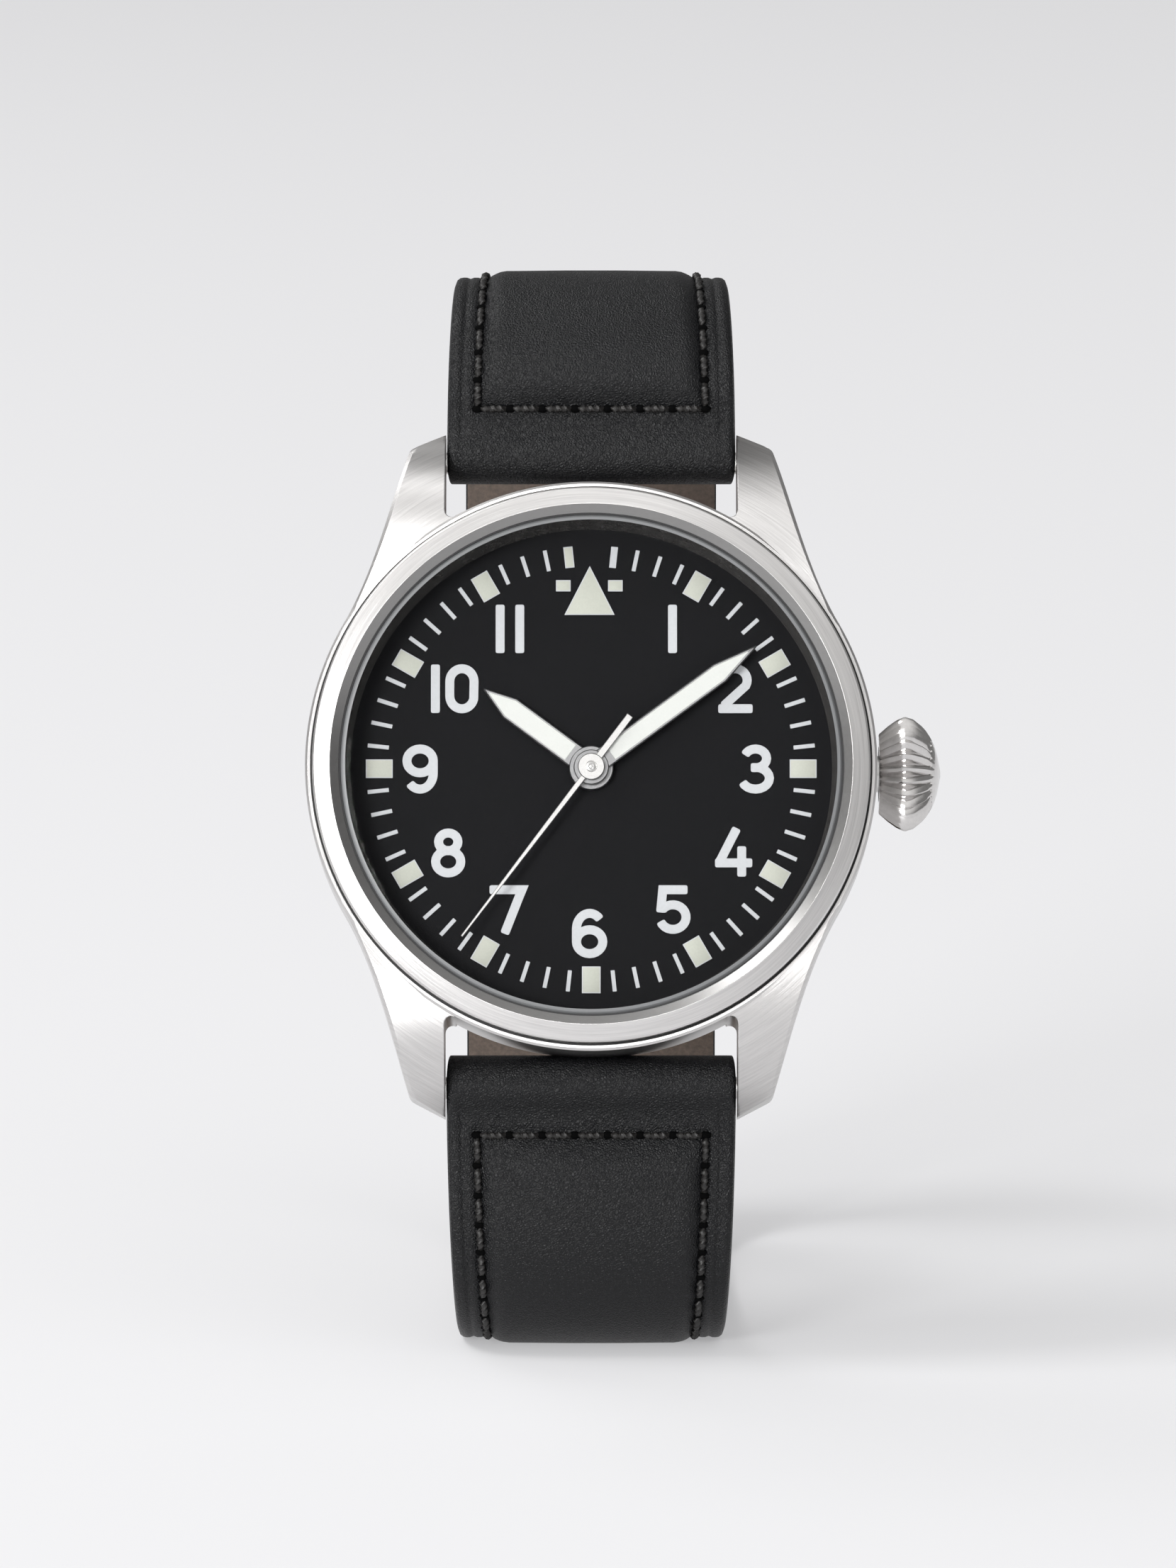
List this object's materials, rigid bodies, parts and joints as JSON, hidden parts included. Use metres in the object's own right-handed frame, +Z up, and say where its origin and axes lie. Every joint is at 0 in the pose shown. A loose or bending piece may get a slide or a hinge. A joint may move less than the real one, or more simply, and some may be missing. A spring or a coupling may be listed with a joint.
{
  "type": "wristwatch",
  "caption": "Steel pilot wristwatch with black numbered dial, sword hands, fluted crown, stitched leather strap with pin buckle, and a complete hand-wound movement.",
  "frame": {"origin": "middle of the flat on the strap's underside where the buckled watch stands", "axes": "+Z up, +X towards the crown (3 o'clock), -Y the way the dial faces, leaning back 14 degrees"},
  "size_m": [0.0434, 0.0612, 0.072],
  "materials": {
    "brushed_case": "satin brushed steel, polished bevels",
    "bezel_steel": "circular brushed top, polished inner bevel",
    "polished_steel": "polished steel",
    "sapphire": "clear, coated inside",
    "seal_rubber": "matt",
    "dial_black": "matt black lacquer",
    "lume": "luminous paint, grainy matt",
    "hand_steel": "fine satin",
    "plate_brass": "nickel-plated brass, striped",
    "movement_ring": "turned",
    "wheel_brass": "gilt brass",
    "movement_steel": "hardened steel, fine ground",
    "strap_leather": "black calf, fine grain, semi-matt",
    "strap_lining": "brown lining leather"
  },
  "bodies": {
    "case": {"case_middle": "brushed_case", "bezel": "bezel_steel", "crystal": "sapphire", "crystal_gasket": "seal_rubber", "rehaut_ring": "dial_black", "dial": "dial_black", "lume_plots": "lume", "case_back": "brushed_case", "case_back_gasket": "seal_rubber", "movement_ring": "movement_ring", "casing_clamps": "movement_steel", "crown_tube": "polished_steel", "crown_gasket": "seal_rubber", "spring_bars": "polished_steel", "main_plate": "plate_brass", "barrel_bridge": "plate_brass", "train_bridge": "plate_brass", "balance_cock": "plate_brass", "pallet_bridge": "plate_brass", "bridge_screws": "movement_steel", "minute_wheel_post": "movement_steel", "strap_upper": "strap_leather", "strap_upper_lining": "strap_lining", "strap_lower": "strap_leather", "strap_lower_lining": "strap_lining", "fixed_keeper": "strap_leather"},
    "pinions": {"winding_pinion": "movement_steel", "sliding_pinion": "movement_steel"},
    "crown_and_stem": {"crown": "polished_steel", "winding_stem": "movement_steel"},
    "crown_wheel": {"crown_wheel": "movement_steel"},
    "ratchet": {"ratchet_wheel": "movement_steel", "barrel_arbor": "movement_steel"},
    "click": {"click": "movement_steel"},
    "setting_lever": {"setting_lever": "movement_steel"},
    "barrel": {"barrel": "wheel_brass", "mainspring": "movement_steel"},
    "centre": {"centre_wheel": "wheel_brass"},
    "third": {"third_wheel": "wheel_brass"},
    "seconds": {"fourth_wheel": "wheel_brass", "seconds_hand": "hand_steel"},
    "escape": {"escape_wheel": "movement_steel"},
    "pallets": {"pallet_fork": "movement_steel"},
    "balance": {"balance_wheel": "wheel_brass", "hairspring": "movement_steel"},
    "minutes": {"cannon_pinion": "movement_steel", "minute_hand": "hand_steel", "minute_hand_lume": "lume"},
    "minute_wheel": {"minute_wheel": "wheel_brass"},
    "hours": {"hour_wheel": "wheel_brass", "hour_hand": "hand_steel", "hour_hand_lume": "lume"},
    "buckle": {"buckle_frame": "polished_steel", "buckle_bar": "polished_steel"},
    "tongue": {"buckle_tongue": "polished_steel"},
    "sliding_keeper": {"sliding_keeper": "strap_leather"}
  },
  "joints": [
    {"name": "crown_turn", "type": "hinge", "parent": "case", "child": "pinions", "pos_m": [0.01, -0.0196, 0.03985], "axis": [1, 0, 0], "continuous": true},
    {"name": "crown_pull", "type": "slide", "parent": "pinions", "child": "crown_and_stem", "axis": [1, 0, 0], "range_m": [0, 0.0014]},
    {"name": "crown_wheel_spin", "type": "hinge", "parent": "case", "child": "crown_wheel", "pos_m": [0.0068, -0.01815, 0.03949], "axis": [0, -0.9703, 0.2419], "continuous": true},
    {"name": "ratchet_spin", "type": "hinge", "parent": "case", "child": "ratchet", "pos_m": [0.00335, -0.0169, 0.04449], "axis": [0, -0.9703, 0.2419], "continuous": true},
    {"name": "click_lift", "type": "hinge", "parent": "case", "child": "click", "pos_m": [0.0015, -0.01579, 0.04895], "axis": [0, -0.9703, 0.2419], "range_deg": [0, 10]},
    {"name": "setting_lever_swing", "type": "hinge", "parent": "case", "child": "setting_lever", "pos_m": [0.0119, -0.02111, 0.03714], "axis": [0, -0.9703, 0.2419], "range_deg": [-27.5, 0.2]},
    {"name": "barrel_spin", "type": "hinge", "parent": "case", "child": "barrel", "pos_m": [0.00335, -0.01826, 0.04483], "axis": [0, -0.9703, 0.2419], "continuous": true},
    {"name": "centre_wheel_spin", "type": "hinge", "parent": "case", "child": "centre", "pos_m": [0, -0.02009, 0.03997], "axis": [0, -0.9703, 0.2419], "continuous": true},
    {"name": "third_wheel_spin", "type": "hinge", "parent": "case", "child": "third", "pos_m": [-0.00448, -0.01921, 0.03935], "axis": [0, -0.9703, 0.2419], "continuous": true},
    {"name": "seconds_turn", "type": "hinge", "parent": "case", "child": "seconds", "pos_m": [0, -0.023, 0.0407], "axis": [0, -0.9703, 0.2419], "continuous": true},
    {"name": "escape_wheel_spin", "type": "hinge", "parent": "case", "child": "escape", "pos_m": [-0.00061, -0.02046, 0.03558], "axis": [0, -0.9703, 0.2419], "continuous": true},
    {"name": "pallet_rock", "type": "hinge", "parent": "case", "child": "pallets", "pos_m": [0.00118, -0.02077, 0.03436], "axis": [0, -0.9703, 0.2419], "range_deg": [-5, 5]},
    {"name": "balance_swing", "type": "hinge", "parent": "case", "child": "balance", "pos_m": [0.00381, -0.02053, 0.03241], "axis": [0, -0.9703, 0.2419], "range_deg": [-270, 270]},
    {"name": "minute_hand_turn", "type": "hinge", "parent": "case", "child": "minutes", "pos_m": [0, -0.023, 0.0407], "axis": [0, -0.9703, 0.2419], "continuous": true},
    {"name": "minute_wheel_spin", "type": "hinge", "parent": "case", "child": "minute_wheel", "pos_m": [0.00165, -0.02134, 0.04323], "axis": [0, -0.9703, 0.2419], "continuous": true},
    {"name": "hour_hand_turn", "type": "hinge", "parent": "case", "child": "hours", "pos_m": [0, -0.023, 0.0407], "axis": [0, -0.9703, 0.2419], "continuous": true},
    {"name": "buckle_swing", "type": "hinge", "parent": "case", "child": "buckle", "pos_m": [0, 0.023, 0.0337], "axis": [1, 0, 0], "range_deg": [0, 12]},
    {"name": "tongue_lift", "type": "hinge", "parent": "buckle", "child": "tongue", "pos_m": [0, 0.023, 0.0337], "axis": [1, 0, 0], "range_deg": [0, 10]},
    {"name": "keeper_slide", "type": "slide", "parent": "case", "child": "sliding_keeper", "axis": [0, 0, 1], "range_m": [-0.0024, 0.0032]}
  ],
  "couplings": [
    {"joint": "crown_wheel_spin", "follows": "crown_turn", "ratio": 0.5},
    {"joint": "ratchet_spin", "follows": "crown_turn", "ratio": -0.36111},
    {"joint": "setting_lever_swing", "follows": "crown_pull", "rad_per_m": -336.6},
    {"joint": "third_wheel_spin", "follows": "seconds_turn", "ratio": -0.13333},
    {"joint": "centre_wheel_spin", "follows": "seconds_turn", "ratio": 0.016667},
    {"joint": "barrel_spin", "follows": "seconds_turn", "ratio": -0.0023148},
    {"joint": "escape_wheel_spin", "follows": "seconds_turn", "ratio": -10},
    {"joint": "minute_wheel_spin", "follows": "minute_hand_turn", "ratio": -0.33333},
    {"joint": "hour_hand_turn", "follows": "minute_hand_turn", "ratio": 0.083333}
  ]
}
